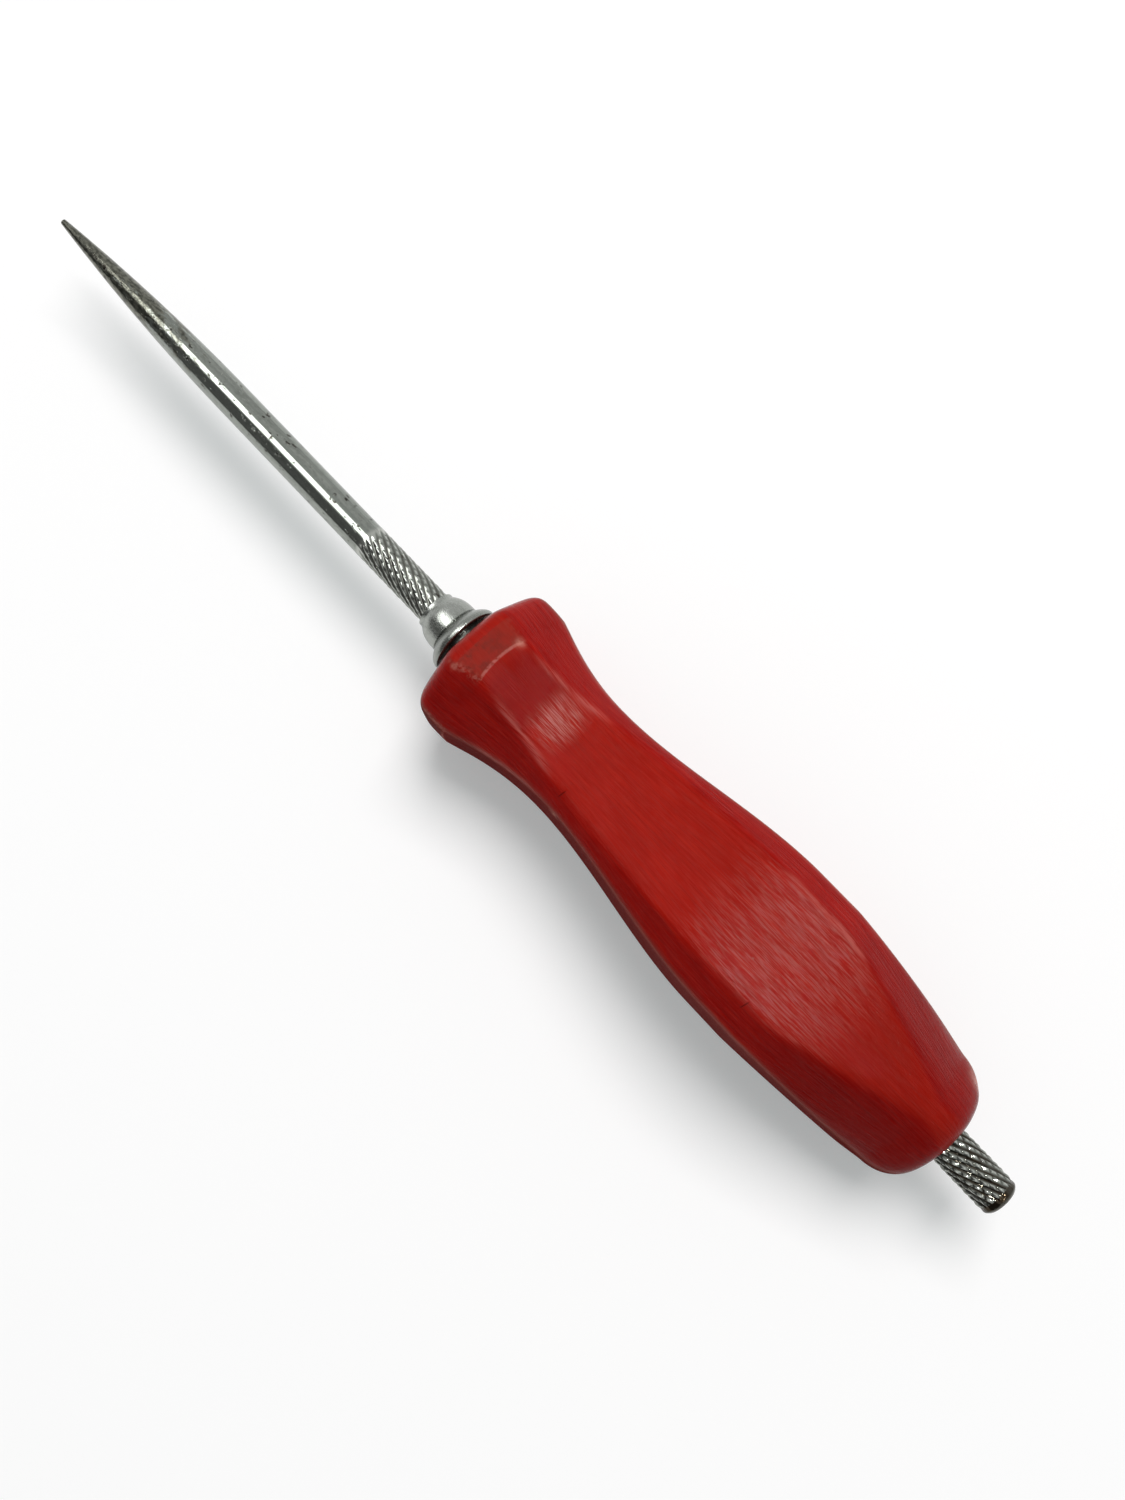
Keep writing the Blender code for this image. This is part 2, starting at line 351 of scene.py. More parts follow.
def facet_radius(angles, reach, half_flat, power):
    """How far out a section lies at each angle: four flats, four corner facets and rounded edges."""
    corner_reach = (reach + half_flat) / math.sqrt(2)
    total = np.zeros(len(angles))
    for facet in range(8):
        distance = reach if facet % 2 == 0 else corner_reach
        total += np.maximum(0.0, np.cos(angles - facet * math.pi / 4) / distance) ** power
    return total ** (-1.0 / power)


def ring_angles(edge):
    """Angles round one section of the handle, closest together at the angle of its long edges."""
    eighth = steps(0.0, edge - EDGE_BAND, FLAT_POINTS)
    eighth += steps(edge - EDGE_BAND, edge + EDGE_BAND, EDGE_POINTS)[1:]
    eighth += steps(edge + EDGE_BAND, math.pi / 4, FACET_POINTS)[1:]
    quarter = eighth + [math.pi / 2 - angle for angle in reversed(eighth[1:-1])]
    return np.array([angle + side * math.pi / 2 for side in range(4) for angle in quarter])


def handle_ring(x):
    """One section of the handle, with each point's nearness to a long edge and share on a flat."""
    reach = handle_width(x) / 2
    half_flat = flat_width(x) / 2
    edge = math.atan2(half_flat, reach)
    angles = ring_angles(edge)
    folded = np.abs((angles + math.pi / 4) % (math.pi / 2) - math.pi / 4)
    radius = facet_radius(angles, reach, half_flat, sharpness(x))
    wear = ease(x, FLARE_RISE / 2, FLARE_RISE * 3 / 2)
    if wear > 0.0 and x < WAIST:
        nearby = [handle_width(x + shift) for shift in steps(-CREST_WEAR, CREST_WEAR, CREST_WEAR_STEPS)]
        soft = facet_radius(angles, sum(nearby) / len(nearby) / 2, half_flat, sharpness(x))
        radius = blend(radius, soft, wear * np.minimum(1.0, (folded / edge) ** 4))
    inside = np.maximum(0.0, 1.0 - (folded / edge) ** 2)
    bow = CREST_BOW * inside * math.exp(-(((x - CREST) / CREST_BOW_REACH) ** 2))
    points = np.stack([x - bow, radius * np.sin(angles), radius * np.cos(angles)], axis=1)
    nearness = np.exp(-(((folded - edge) * radius / EDGE_WEAR_REACH) ** 2))
    on_flat = 1.0 / (1.0 + np.exp((folded - edge) * FLAT_CRISPNESS))
    return points, nearness, on_flat


def handle_places():
    """Where the rings of the handle's outside lie along it."""
    places = [FLARE_RISE * share**FLARE_CROWDING for share in steps(0.0, 1.0, FLARE_RINGS)]
    for first, last, count in HANDLE_STRETCHES:
        places += steps(first, last, count)[1:]
    turns = steps(0.0, math.pi / 2, DOME_RINGS)[1:]
    return places + [DOME_START + BUTT_DOME * math.sin(turn) for turn in turns]


def add_chips(points):
    """Presses small chips into the handle's surface, in place, and tells how worn each point is."""
    worn = np.zeros(len(points))
    for place, reach, depth in CHIPS:
        away = np.linalg.norm(points - np.array(place) * MM, axis=1) / (reach * MM)
        share = np.exp(-(away**2))
        across = np.linalg.norm(points[:, 1:], axis=1)
        points[:, 1:] *= (1.0 - depth * MM * share / across)[:, None]
        worn = np.maximum(worn, share)
    return worn


def make_handle(material):
    places = handle_places()
    sections = [handle_ring(x) for x in places]
    sides = len(sections[0][0])
    unworn = np.zeros(sides)
    bore = [(HANDLE_LENGTH, HANDLE_BORE), (COUNTERBORE_DEPTH, HANDLE_BORE)]
    bore += [(COUNTERBORE_DEPTH, COUNTERBORE), (0.0, COUNTERBORE)]
    for x, radius in bore:
        places.append(x)
        sections.append((circle(x, radius, sides), unworn, unworn))
    points, edge, flat = [np.concatenate(column) for column in zip(*sections)]
    chip = add_chips(points)
    along = np.repeat(np.array(places) / MM, sides)
    marks = {"edge": edge, "flat": flat, "chip": chip, "along": along}
    return add_piece("handle_grip", points, sides, True, material, marks)


# Blade

def point_radius(distance):
    """The rod's radius at a distance behind its tip, along the ogive point."""
    return blend(TIP_RADIUS, ROD_RADIUS, 1.0 - (1.0 - distance / POINT_LENGTH) ** 2)


def groove(phase):
    """How deep a knurl's groove is at a phase: 1 at its bottom, 0 on the narrow land beside it."""
    away = np.abs((phase % 1.0) - 0.5)
    return np.maximum(0.0, 1.0 - away / GROOVE_HALF_WIDTH)


def unevenness(phase, x):
    """How fully each groove of a knurl is cut: it differs from groove to groove and along each one."""
    number = np.floor(phase) % KNURL_STARTS
    spread = GROOVE_SPREAD * np.sin(number * GROOVE_SPREAD_TURN)
    drift_phase = number * GROOVE_DRIFT_TURN + x / KNURL_PITCH * GROOVE_DRIFT_WAVE
    return GROOVE_FULLNESS + spread + GROOVE_DRIFT * np.sin(drift_phase)


def knurl(x, sides, rising, falling):
    """How deep a diamond knurl is round the rod at a place: two families of helical grooves."""
    turn = np.arange(sides) / sides * KNURL_STARTS
    falling_phase = turn + x / KNURL_PITCH
    rising_phase = turn - x / KNURL_PITCH
    falling_cut = groove(falling_phase) * falling * unevenness(falling_phase, x)
    rising_cut = groove(rising_phase) * rising * unevenness(rising_phase, x)
    return np.maximum(falling_cut, rising_cut)


def make_blade(material):
    sides = KNURL_STARTS * KNURL_SIDES
    rings = []
    depths = []

    def plain(x, radius, darkening=0.0):
        rings.append(circle(x, radius, sides))
        depths.append(np.full(sides, darkening))

    def knurled(first, last, radius, depth, cuts, fade):
        for x in steps(first, last, round((last - first) / KNURL_PITCH * KNURL_RINGS)):
            cut = knurl(x, sides, *cuts) * min(1.0, (x - first) / fade)
            ring = circle(x, 1.0, sides)
            ring[:, 1:] *= (radius - depth * cut)[:, None]
            rings.append(ring)
            depths.append(cut)

    tail_start = HANDLE_LENGTH - KNURL_PITCH / 2
    tail_stop = TAIL_END - TAIL_CHAMFER
    band_start = tail_stop - TAIL_BAND
    front_dirt, back_dirt = TAIL_BAND_DIRT
    front_knurl = (FRONT_KNURL_RADIUS, FRONT_KNURL_DEPTH, FRONT_KNURL_CUTS, KNURL_PITCH)
    tail_knurl = (TAIL_KNURL_RADIUS, TAIL_KNURL_DEPTH, TAIL_KNURL_CUTS, KNURL_PITCH / 6)

    plain(-TIP_REACH, TIP_RADIUS / 2)
    for share in steps(0.0, 1.0, POINT_RINGS):
        place = blend(TIP_RADIUS / 2, POINT_LENGTH, share**POINT_CROWDING)
        plain(place - TIP_REACH, point_radius(place))
    for x in steps(POINT_LENGTH - TIP_REACH, FRONT_KNURL_START - KNURL_PITCH / 4, SHANK_RINGS)[1:]:
        plain(x, ROD_RADIUS)
    knurled(FRONT_KNURL_START, FERRULE_FRONT, *front_knurl)
    plain(FERRULE_FRONT + KNURL_PITCH, ROD_RADIUS)
    plain(HANDLE_LENGTH - KNURL_PITCH, ROD_RADIUS)
    knurled(tail_start, band_start, *tail_knurl)
    plain(band_start + TAIL_BAND / 4, TAIL_KNURL_RADIUS - TAIL_KNURL_DEPTH / 2, front_dirt)
    plain(tail_stop - TAIL_BAND / 4, TAIL_KNURL_RADIUS - TAIL_KNURL_DEPTH / 4, back_dirt)
    for share in steps(0.0, 1.0, TAIL_CHAMFER_RINGS):
        inward = blend(TAIL_CHAMFER_START, 1.0, share**TAIL_CHAMFER_POWER)
        radius = TAIL_KNURL_RADIUS - TAIL_CHAMFER * inward
        plain(tail_stop + TAIL_CHAMFER * share, radius, TAIL_CHAMFER_DIRT)
    marks = {"groove": np.concatenate(depths)}
    return add_piece("blade_rod", np.concatenate(rings), sides, False, material, marks)


# Ferrule

def ferrule_outline():
    """Places and radii along the ferrule's outside, and back through its bore."""
    outline = [(FERRULE_FRONT, FERRULE_BORE + LIP_EDGE), (FERRULE_FRONT + LIP_EDGE, LIP_RADIUS)]
    outline.append((BULB_FRONT, LIP_RADIUS))
    for share in steps(0.0, 1.0, SWELL_RINGS)[1:]:
        swell = 1.0 - (1.0 - share) ** BULB_FULLNESS
        x = blend(BULB_FRONT, FLANGE_FRONT - NOTCH_LENGTH, share)
        outline.append((x, blend(LIP_RADIUS, BULB_RADIUS, swell)))
    outline.append((FLANGE_FRONT, NOTCH_RADIUS))
    flange_rise = FLANGE_BACK - FLANGE_EDGE
    for share in steps(0.0, 1.0, SWELL_RINGS)[1:]:
        swell = math.sin(share * math.pi / 2)
        x = blend(FLANGE_FRONT, flange_rise, share)
        outline.append((x, blend(NOTCH_RADIUS, FLANGE_RADIUS, swell)))
    for turn in steps(0.0, math.pi / 2, FLANGE_EDGE_RINGS)[1:]:
        x = flange_rise + FLANGE_EDGE * math.sin(turn)
        outline.append((x, FLANGE_RADIUS - FLANGE_EDGE * (1.0 - math.cos(turn))))
    outline += [(FLANGE_BACK, NECK_RADIUS), (SPIGOT_DEPTH, NECK_RADIUS)]
    outline += [(SPIGOT_DEPTH, FERRULE_BORE), (FERRULE_FRONT, FERRULE_BORE)]
    return outline


def ferrule_dirt_and_shade(x):
    """How dark the ferrule is at a place: dirt in its notch and lightly on the flange, and painted shade
    wholly behind the flange, in the gap before the handle.
    """
    # Painted shade behind the flange, in the gap before the handle
    if x > FLANGE_BACK - FLANGE_EDGE / 3:
        return 1.0
    in_notch = NOTCH_DIRT * math.exp(-(((x - FLANGE_FRONT) / NOTCH_DIRT_REACH) ** 2))
    if x > FLANGE_FRONT:
        return max(in_notch, FLANGE_DIRT)
    return in_notch


def make_ferrule(material):
    outline = ferrule_outline()
    rings = [circle(x, radius, FERRULE_SIDES) for x, radius in outline]
    darkening = np.repeat([ferrule_dirt_and_shade(x) for x, radius in outline], FERRULE_SIDES)
    points = np.concatenate(rings)
    return add_piece("ferrule_collar", points, FERRULE_SIDES, True, material, {"groove": darkening})


# Finishes

# A mix node's sockets for colours, which come after those for numbers and vectors
MIX_FIRST = 6
MIX_SECOND = 7
MIX_RESULT = 2


class Nodes:
    """A node tree under construction: short calls add its nodes and links."""

    def __init__(self, tree):
        self.tree = tree

    def set(self, socket, value):
        """Links a socket to another node's output, or gives it a plain value."""
        if isinstance(value, bpy.types.NodeSocket):
            self.tree.links.new(value, socket)
        else:
            socket.default_value = value

    def node(self, kind, inputs, **settings):
        node = self.tree.nodes.new(kind)
        for name, value in settings.items():
            setattr(node, name, value)
        for name, value in inputs.items():
            self.set(node.inputs[name], value)
        return node

    def math(self, operation, *values):
        """One number from several, by an operation that takes two at a time."""
        result = values[0]
        for value in values[1:]:
            result = self.node("ShaderNodeMath", {0: result, 1: value}, operation=operation).outputs[0]
        return result

    def times(self, *values):
        return self.math("MULTIPLY", *values)

    def size(self, value):
        """A number without its sign."""
        return self.node("ShaderNodeMath", {0: value}, operation="ABSOLUTE").outputs[0]

    def ramp(self, value, low, high, first=0.0, last=1.0):
        """Goes smoothly from first to last as the value goes from low to high."""
        inputs = {"Value": value, "From Min": low, "From Max": high, "To Min": first, "To Max": last}
        return self.node("ShaderNodeMapRange", inputs, interpolation_type="SMOOTHSTEP").outputs["Result"]

    def band(self, value, middle, reach, fade):
        """1 within reach of a middle value, fading to 0 beyond it."""
        away = self.size(self.math("SUBTRACT", value, middle))
        return self.ramp(away, reach, reach + fade, 1.0, 0.0)

    def shown(self):
        """1 for rays from the camera, a reflection or a clear piece, and 0 for all others."""
        rays = self.node("ShaderNodeLightPath", {}).outputs
        kinds = ["Is Camera Ray", "Is Glossy Ray", "Is Transmission Ray"]
        return self.math("MAXIMUM", *[rays[kind] for kind in kinds])


class Finish(Nodes):
    """A material under construction, whose colour is laid on in coats."""

    def __init__(self, name):
        self.material = bpy.data.materials.new(name)
        self.material.use_nodes = True
        super().__init__(self.material.node_tree)
        self.colour = None

    def place(self, scale=(1.0, 1.0, 1.0)):
        """The piece's own coordinates in millimetres, stretched along each axis."""
        where = self.node("ShaderNodeTexCoord", {}).outputs["Object"]
        stretch = [each / MM for each in scale]
        return self.node("ShaderNodeMapping", {"Vector": where, "Scale": stretch}).outputs["Vector"]

    def axis(self, name):
        """One of the piece's own coordinates, in millimetres."""
        return self.node("ShaderNodeSeparateXYZ", {"Vector": self.place()}).outputs[name]

    def mark(self, name):
        """A value that the piece's mesh carries at each point."""
        return self.node("ShaderNodeAttribute", {}, attribute_name=name).outputs["Fac"]

    def vector(self, operation, *values):
        node = self.node("ShaderNodeVectorMath", dict(enumerate(values)), operation=operation)
        return node.outputs["Vector"]

    def combined(self, **axes):
        return self.node("ShaderNodeCombineXYZ", axes).outputs["Vector"]

    def noise_at(self, place, detail, roughness):
        inputs = {"Vector": place, "Scale": 1.0, "Detail": detail, "Roughness": roughness}
        return self.node("ShaderNodeTexNoise", inputs).outputs["Fac"]

    def noise(self, scale, detail=2.0, roughness=0.5):
        """Noise with its own fineness along each axis, in steps per millimetre."""
        return self.noise_at(self.place(scale), detail, roughness)

    def streaks(self, along, across, detail, roughness):
        """Noise drawn out along the tool, in lines that follow the handle as it swells and narrows."""
        spoke = self.vector("NORMALIZE", self.combined(Y=self.axis("Y"), Z=self.axis("Z")))
        wide = across * REST_HEIGHT / MM
        round_tool = self.vector("MULTIPLY", spoke, (wide, wide, wide))
        down_tool = self.combined(X=self.times(self.axis("X"), along))
        return self.noise_at(self.vector("ADD", round_tool, down_tool), detail, roughness)

    def mix(self, share, first, second):
        """A mix of two colours: 0 gives the first, and 1 the second."""
        inputs = {"Factor": share, MIX_FIRST: first, MIX_SECOND: second}
        return self.node("ShaderNodeMix", inputs, data_type="RGBA").outputs[MIX_RESULT]

    def coat(self, colour, *shares):
        """Lays a colour over the present one, as strongly as the product of the shares."""
        self.colour = self.mix(self.times(*shares), self.colour, colour)

    def relief(self, *layers):
        """A surface normal from layers of heights, each with its depth in metres."""
        normal = None
        for height, depth in layers:
            inputs = {"Height": height, "Distance": depth, "Strength": 1.0}
            if normal is not None:
                inputs["Normal"] = normal
            normal = self.node("ShaderNodeBump", inputs).outputs["Normal"]
        return normal

    def shaded(self, inputs):
        """The material, with its shader's inputs set."""
        shader = self.tree.nodes["Principled BSDF"]
        for name, value in inputs.items():
            self.set(shader.inputs[name], value)
        return self.material


def opaque(red, green, blue):
    return (red, green, blue, 1.0)


# Red plastic

DEEP_RED = opaque(0.285, 0.0035, 0.002)
PLAIN_RED = opaque(0.32, 0.0045, 0.003)
SCRATCH_RED = opaque(0.42, 0.02, 0.008)
HAIR_RED = opaque(0.19, 0.002, 0.002)
BRUSH_DARK = opaque(0.2, 0.002, 0.0015)
BRUSH_LIGHT = opaque(0.42, 0.012, 0.004)
BUTT_RED = opaque(0.15, 0.001, 0.001)
FLAT_RED = opaque(0.42, 0.022, 0.008)
CREST_SHADE = opaque(0.2, 0.002, 0.001)
# Pale scratch dashes, painted strongly where they stand for sheen and a highlight
SCRATCH_SHEEN_RED = opaque(0.52, 0.18, 0.15)
BEVEL_RED = opaque(0.26, 0.03, 0.02)
SMUDGE = opaque(0.13, 0.022, 0.016)
# Painted shade for the side flats
SIDE_SHADE_RED = opaque(0.09, 0.004, 0.003)
SIDE_EDGE = opaque(0.36, 0.11, 0.08)
# Pale worn edges, also painted as glints
WORN_EDGE_GLINT = opaque(0.5, 0.14, 0.12)
CREST_EDGE = opaque(0.55, 0.2, 0.16)
BEVEL_EDGE = opaque(0.45, 0.14, 0.11)
RIM = opaque(0.48, 0.15, 0.13)
CHIP = opaque(0.55, 0.22, 0.17)
NICK = opaque(0.07, 0.004, 0.003)
PLASTIC_SPECULAR = 0.028


class Plastic(Finish):
    """The handle's finish, with the marks and scratches that its coats share."""

    def __init__(self, name):
        super().__init__(name)
        self.x = self.mark("along")
        self.y = self.axis("Y")
        self.z = self.axis("Z")
        self.edge = self.mark("edge")
        self.flat = self.mark("flat")
        self.fine = self.streaks(along=0.25, across=4.5, detail=4.0, roughness=0.65)
        self.brush = self.streaks(along=0.14, across=2.6, detail=3.0, roughness=0.7)
        self.dash = self.streaks(along=0.36, across=7.5, detail=2.0, roughness=0.65)
        self.speck = self.noise((2.2, 2.2, 2.2))
        sideways = self.math("SUBTRACT", self.size(self.y), self.size(self.z))
        self.on_side = self.ramp(sideways, -0.5, 0.5)

    def brush_body(self):
        """Red with lengthwise scratches, darker at the butt and brighter on the flats."""
        cloud = self.noise((0.22, 0.22, 0.22), detail=4.0, roughness=0.6)
        hair = self.streaks(along=0.12, across=8.0, detail=2.0, roughness=0.6)
        self.colour = self.mix(self.ramp(cloud, 0.3, 0.7), DEEP_RED, PLAIN_RED)
        patchy = self.ramp(cloud, 0.35, 0.65, 0.25, 1.0)
        self.coat(SCRATCH_RED, self.ramp(self.fine, 0.5, 0.75), patchy, 0.4)
        self.coat(HAIR_RED, self.ramp(hair, 0.54, 0.7), 0.4)
        self.coat(BRUSH_DARK, self.ramp(self.brush, 0.36, 0.54, 0.5, 0.0))
        self.coat(BRUSH_LIGHT, self.ramp(self.brush, 0.52, 0.7, 0.0, 0.4))
        self.coat(BUTT_RED, self.ramp(self.x, *BUTT_FADE, 0.0, 0.44))
        self.coat(FLAT_RED, self.flat, 0.24)

    def shade_and_sheen_flats(self):
        """Painted shade behind the flare's crest, and pale scratch dashes painted as sheen, most on the
        palm and the neck.
        """
        # Painted shade on the flats behind the crest, where the concave neck turns away from the light
        self.coat(CREST_SHADE, self.band(self.x, *SHADE_BEHIND_CREST), self.flat, 0.5)
        # Scratch dashes painted pale as sheen and a highlight, strongest on the palm and the neck
        palm = self.times(self.band(self.x, *PALM_SCRATCH_SHEEN), self.flat, 0.36)
        neck_middle = self.band(self.y, *NECK_SCRATCH_SHEEN_ACROSS)
        neck = self.times(self.band(self.x, *NECK_SCRATCH_SHEEN), neck_middle, self.flat, 0.95)
        everywhere = 0.04
        scratch_sheen = self.math("MAXIMUM", palm, neck, everywhere)
        self.coat(SCRATCH_SHEEN_RED, scratch_sheen, self.ramp(self.dash, 0.4, 0.66))

    def soil_bevel(self):
        """The flats' front bevels, duller and smudged, most of all on one side."""
        smear = self.noise((0.5, 0.5, 0.5), detail=5.0, roughness=0.7)
        bevel = self.times(self.band(self.x, *BEVEL), self.flat)
        self.coat(BEVEL_RED, bevel, 0.5)
        one_side = self.ramp(self.y, -4.0, 4.0, 1.0, 0.35)
        self.coat(SMUDGE, bevel, self.ramp(smear, 0.42, 0.65), one_side, 0.8)

    def shade_side_flats(self):
        """The two flats at the sides, darkened with painted shade between paler edges."""
        self.coat(SIDE_SHADE_RED, self.flat, self.on_side, 0.7)
        self.coat(SIDE_EDGE, self.edge, self.on_side, self.ramp(self.fine, 0.3, 0.6, 0.4, 1.0), 0.45)

    def wear_and_glint_edges(self):
        """Pale long edges at the neck and the palm, worn and painted brighter as glints, most on the
        upper edge at the palm, and pale crests, bevel edges, front rim and chips.
        """
        # Pale worn long edges, painted brighter as glints where they catch the light
        palm = self.times(self.band(self.x, *PALM_WORN_GLINT), self.ramp(self.y, -1.0, 1.0, 0.2, 1.0))
        worn_glint = self.math("ADD", self.band(self.x, *NECK_WORN_GLINT), palm)
        self.coat(WORN_EDGE_GLINT, self.edge, worn_glint, self.ramp(self.fine, 0.35, 0.6), 0.55)
        crest = self.times(self.band(self.x, *CREST_LINE), self.flat)
        self.coat(CREST_EDGE, crest, self.ramp(self.speck, 0.3, 0.55), 0.5)
        bevel = self.times(self.edge, self.band(self.x, *BEVEL))
        one_side = self.ramp(self.y, -1.0, 1.0, 1.0, 0.15)
        self.coat(BEVEL_EDGE, bevel, self.ramp(self.speck, 0.4, 0.6), one_side, 0.5)
        self.coat(RIM, self.ramp(self.x, *RIM_FADE, 1.0, 0.0), 0.6)
        self.coat(CHIP, self.mark("chip"), self.ramp(self.speck, 0.3, 0.6, 0.4, 0.9))

    def cut_nicks(self):
        """Short dark cuts over the upper flat's edges. Tells how deep they are."""
        slant = self.math("ADD", self.x, self.times(self.y, -NICK_SLANT))
        on_top = self.ramp(self.z, 0.0, 1.0)
        cuts = []
        for x, y in NICKS:
            cut = self.band(slant, x - NICK_SLANT * y, *NICK_WIDTH)
            cuts.append(self.times(cut, self.band(self.y, y, *NICK_LENGTH), on_top))
        nicks = self.math("MAXIMUM", *cuts)
        self.coat(NICK, nicks, 0.6)
        return nicks


def red_plastic():
    """Hard red plastic, rubbed by years of use: lengthwise scratches, pale edges and rubbed patches, with
    painted glints on some edges, painted sheen on the palm and the neck, and painted shade behind the
    crest and on the side flats.
    """
    finish = Plastic("red_hard_plastic_worn")
    finish.brush_body()
    finish.shade_and_sheen_flats()
    finish.soil_bevel()
    finish.shade_side_flats()
    finish.wear_and_glint_edges()
    nicks = finish.cut_nicks()
    scratched = finish.ramp(finish.fine, 0.38, 0.66, 0.07, 0.16)
    dull_side = finish.times(finish.flat, finish.on_side, 0.6)
    scratches = [(finish.fine, FINE_DEPTH), (finish.brush, BRUSH_DEPTH), (finish.dash, DASH_DEPTH)]
    return finish.shaded({
        "Base Color": finish.colour,
        "Roughness": finish.math("ADD", scratched, dull_side),
        "Specular IOR Level": PLASTIC_SPECULAR,
        "Normal": finish.relief(*scratches, (nicks, -NICK_DEPTH)),
    })


# Metals

DRAWN_STEEL = opaque(0.25, 0.27, 0.245)
BRIGHT_STEEL = opaque(0.31, 0.33, 0.3)
MOTTLED_STEEL = opaque(0.17, 0.18, 0.16)
DARK_STAIN = opaque(0.05, 0.05, 0.038)
PALE_STAIN = opaque(0.19, 0.19, 0.155)
PIT = opaque(0.04, 0.035, 0.028)
GRIME = opaque(0.035, 0.026, 0.016)
RUBBED_RIDGE = opaque(0.6, 0.61, 0.57)
DULL_PLATING = opaque(0.29, 0.305, 0.28)
BRIGHT_PLATING = opaque(0.37, 0.385, 0.36)
# Dirt, and painted shade in the gap behind the flange
GRIME_AND_GAP_SHADE = opaque(0.03, 0.028, 0.024)


def worn_steel():
    """Bright drawn steel with dark spots, a browned point, and a knurl with grime and bright ridges."""
    finish = Finish("tool_steel_worn")
    x = finish.axis("X")
    groove_depth = finish.mark("groove")
    streak = finish.noise((0.06, 2.2, 2.2), detail=3.0)
    cloud = finish.noise((0.18, 0.5, 0.5), detail=4.0, roughness=0.65)
    blotch = finish.noise((0.28, 0.9, 0.9), detail=4.0, roughness=0.7)
    mottle = finish.noise((1.2, 2.6, 2.6), detail=4.0, roughness=0.7)
    spots = finish.noise((0.8, 1.4, 1.4), detail=3.0, roughness=0.6)
    turned = finish.noise((5.0, 0.5, 0.5))

    finish.colour = finish.mix(finish.ramp(streak, 0.3, 0.7), DRAWN_STEEL, BRIGHT_STEEL)
    finish.coat(MOTTLED_STEEL, finish.ramp(mottle, 0.42, 0.66, 0.0, 0.45))
    near_tip = finish.ramp(x, *TIP_FADE, 1.0, 0.0)
    patina = finish.ramp(finish.math("ADD", blotch, finish.times(near_tip, 0.3)), 0.58, 0.72)
    patina = finish.times(patina, finish.ramp(x, *PATINA_FADE, 1.0, 0.0))
    stain = finish.mix(finish.ramp(mottle, 0.4, 0.6), DARK_STAIN, PALE_STAIN)
    finish.coat(stain, patina, 0.9)
    pits = finish.ramp(spots, 0.63, 0.67)
    finish.coat(PIT, pits, 0.9)
    in_groove = finish.ramp(groove_depth, 0.15, 0.65)
    patchy = finish.ramp(cloud, 0.25, 0.6, 0.6, 1.0)
    finish.coat(GRIME, in_groove, patchy, finish.ramp(x, *GRIME_FADE, 0.6, 1.0))
    on_ridge = finish.ramp(groove_depth, 0.05, 0.3, 0.6, 0.0)
    finish.coat(RUBBED_RIDGE, on_ridge, finish.ramp(x, *KNURL_FADE))

    ground = finish.times(turned, finish.ramp(x, *GROUND_FADE, 1.0, 0.1))
    stained = finish.times(mottle, patina)
    return finish.shaded({
        "Base Color": finish.colour,
        "Metallic": 1.0,
        "Roughness": finish.ramp(mottle, 0.35, 0.7, 0.07, 0.17),
        "Normal": finish.relief((ground, GROUND_DEPTH), (stained, STAIN_DEPTH), (pits, -PIT_DEPTH)),
    })


def worn_plating():
    """Bright plating with fine scratches, dirt in the notch and on the flange, and painted shade behind
    the flange.
    """
    finish = Finish("bright_plating_worn")
    cloud = finish.noise((0.8, 0.8, 0.8), detail=4.0, roughness=0.65)
    scratch = finish.noise((2.5, 6.0, 6.0), detail=3.0, roughness=0.65)
    finish.colour = finish.mix(finish.ramp(cloud, 0.3, 0.7), DULL_PLATING, BRIGHT_PLATING)
    # Dirt in the notch and on the flange, and painted shade behind the flange
    finish.coat(GRIME_AND_GAP_SHADE, finish.mark("groove"), finish.ramp(cloud, 0.3, 0.6, 0.6, 1.0), 0.95)
    return finish.shaded({
        "Base Color": finish.colour,
        "Metallic": 1.0,
        "Roughness": finish.ramp(scratch, 0.3, 0.75, 0.16, 0.34),
        "Normal": finish.relief((scratch, PLATING_DEPTH)),
    })


# Studio

FLOOR_GREY = opaque(0.77, 0.735, 0.735)
FLOOR_GLOW_COLOUR = opaque(0.88, 1.0, 1.0)
WHITE = opaque(1.0, 1.0, 1.0)
BLACK = opaque(0.0, 0.0, 0.0)


def add_card(name, corners, material):
    mesh = bpy.data.meshes.new(name)
    mesh.from_pydata(corners, [], [(0, 1, 2, 3)])
    mesh.materials.append(material)
    card = bpy.data.objects.new(name, mesh)
    bpy.context.scene.collection.objects.link(card)
    return card


def make_floor():
    """A pale floor that takes the tool's shadow and shows a little brighter than it is lit."""
    finish = Finish("studio_floor")
    material = finish.shaded({
        "Base Color": FLOOR_GREY,
        "Roughness": 0.9,
        "Specular IOR Level": 0.1,
        "Emission Color": FLOOR_GLOW_COLOUR,
        "Emission Strength": finish.times(finish.shown(), FLOOR_GLOW),
    })
    reach = FLOOR_REACH
    corners = [(-reach, -reach, 0.0), (reach, -reach, 0.0), (reach, reach, 0.0), (-reach, reach, 0.0)]
    floor = add_card("floor", corners, material)


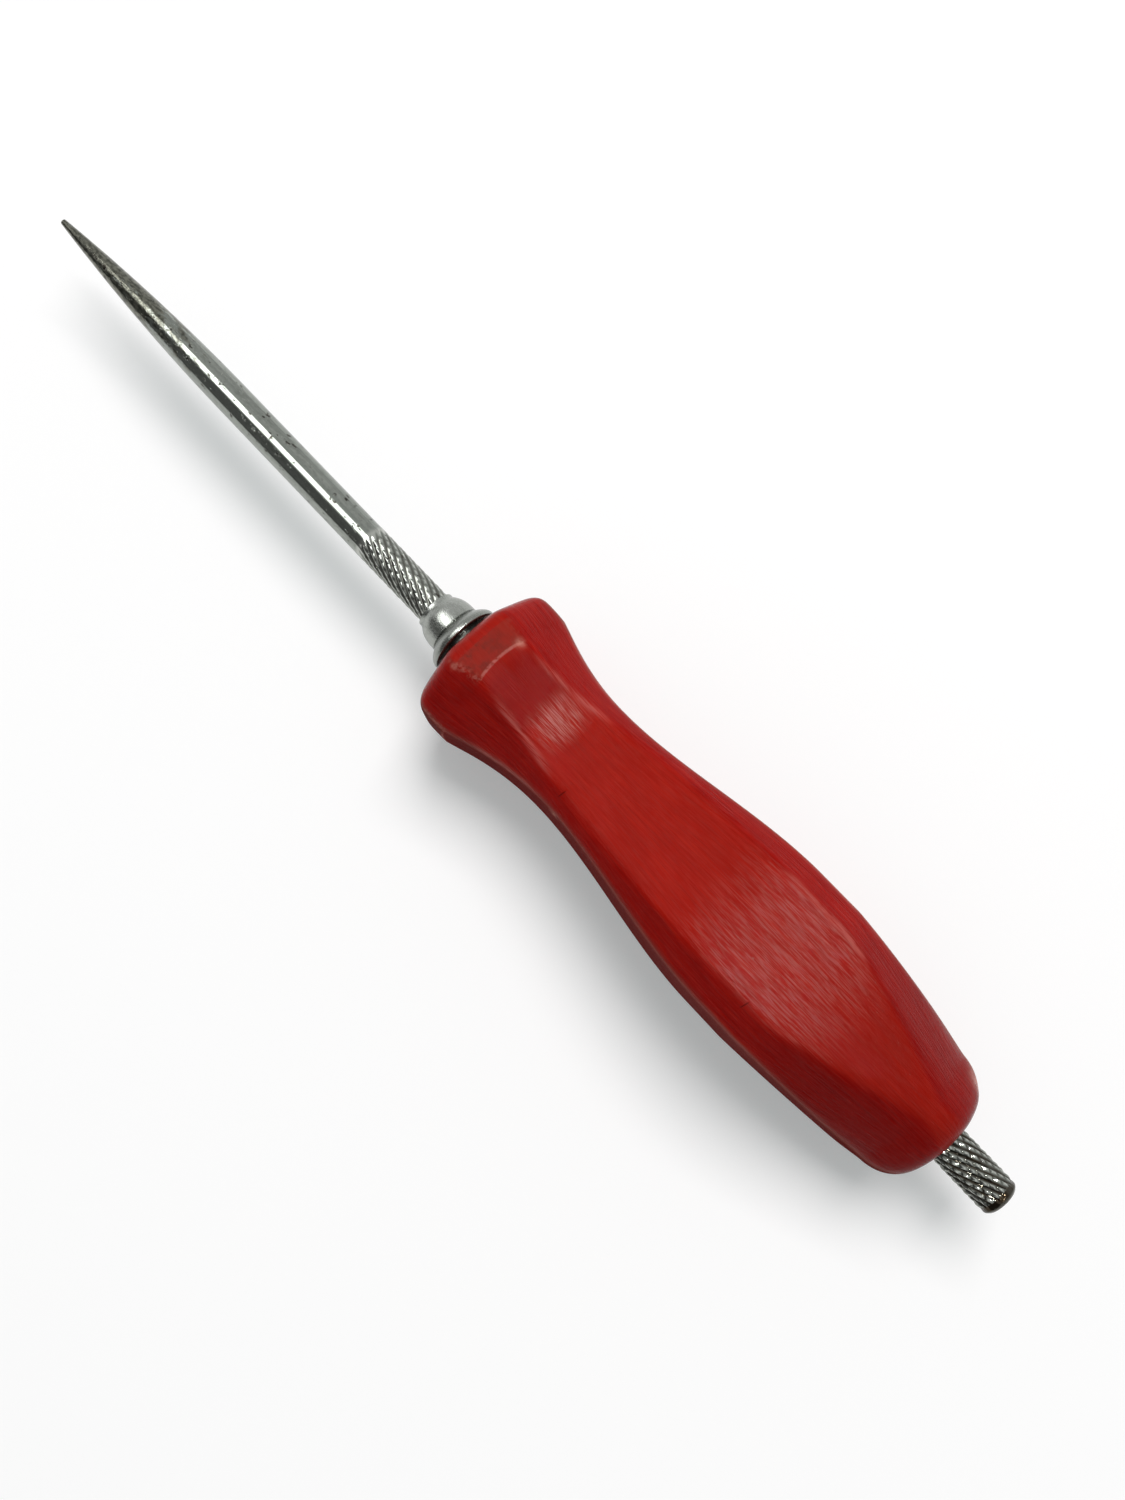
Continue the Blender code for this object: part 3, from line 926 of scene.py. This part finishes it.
def make_flag():
    """A dark card beside the set that only reflections see, as a photographer's flag."""
    material = Finish("studio_flag").shaded({
        "Base Color": BLACK,
        "Specular IOR Level": 0.0,
        "Emission Color": WHITE,
        "Emission Strength": FLAG_GLOW,
    })
    left, right = FLAG_ENDS
    corners = [(left, FLAG_SIDE, 0.0), (right, FLAG_SIDE, 0.0)]
    corners += [(right, FLAG_SIDE, FLAG_HEIGHT), (left, FLAG_SIDE, FLAG_HEIGHT)]
    flag = add_card("flag", corners, material)
    flag.visible_camera = False
    flag.visible_diffuse = False
    flag.visible_shadow = False


def add_lamp(name, place, target, size, watts, hidden_from):
    lamp = bpy.data.lights.new(name, "AREA")
    lamp.shape = "RECTANGLE"
    lamp.size, lamp.size_y = size
    lamp.energy = watts
    lamp_object = bpy.data.objects.new(name, lamp)
    bpy.context.scene.collection.objects.link(lamp_object)
    lamp_object.location = place
    aim = Vector(target) - Vector(place)
    lamp_object.rotation_euler = aim.to_track_quat("-Z", "Y").to_euler()
    setattr(lamp_object, "visible_" + hidden_from, False)


def light_studio():
    for name, lamp in LAMPS.items():
        add_lamp(name, *lamp)
    world = bpy.data.worlds.new("studio")
    bpy.context.scene.world = world
    world.use_nodes = True
    nodes = Nodes(world.node_tree)
    background = world.node_tree.nodes["Background"]
    nodes.set(background.inputs["Color"], WHITE)
    strength = nodes.ramp(nodes.shown(), 0.0, 1.0, WORLD_LIGHT, WORLD_SHOWN)
    nodes.set(background.inputs["Strength"], strength)


def add_camera():
    camera = bpy.data.cameras.new("camera")
    camera.lens = CAMERA_LENS
    camera.clip_start = CAMERA_CLIP
    camera_object = bpy.data.objects.new("camera", camera)
    bpy.context.scene.collection.objects.link(camera_object)
    columns = [Vector(CAMERA_RIGHT), Vector(CAMERA_UP), -Vector(CAMERA_FORWARD)]
    turn = Matrix(columns).transposed().to_4x4()
    camera_object.matrix_world = Matrix.Translation(CAMERA_PLACE) @ turn
    bpy.context.scene.camera = camera_object


def dress(piece, node):
    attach(piece, "root")
    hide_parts(node)


add_camera()
dress(make_blade(worn_steel()), "blade")
dress(make_ferrule(worn_plating()), "ferrule")
dress(make_handle(red_plastic()), "handle")
make_floor()
make_flag()
light_studio()
bpy.context.scene.view_settings.view_transform = "Standard"
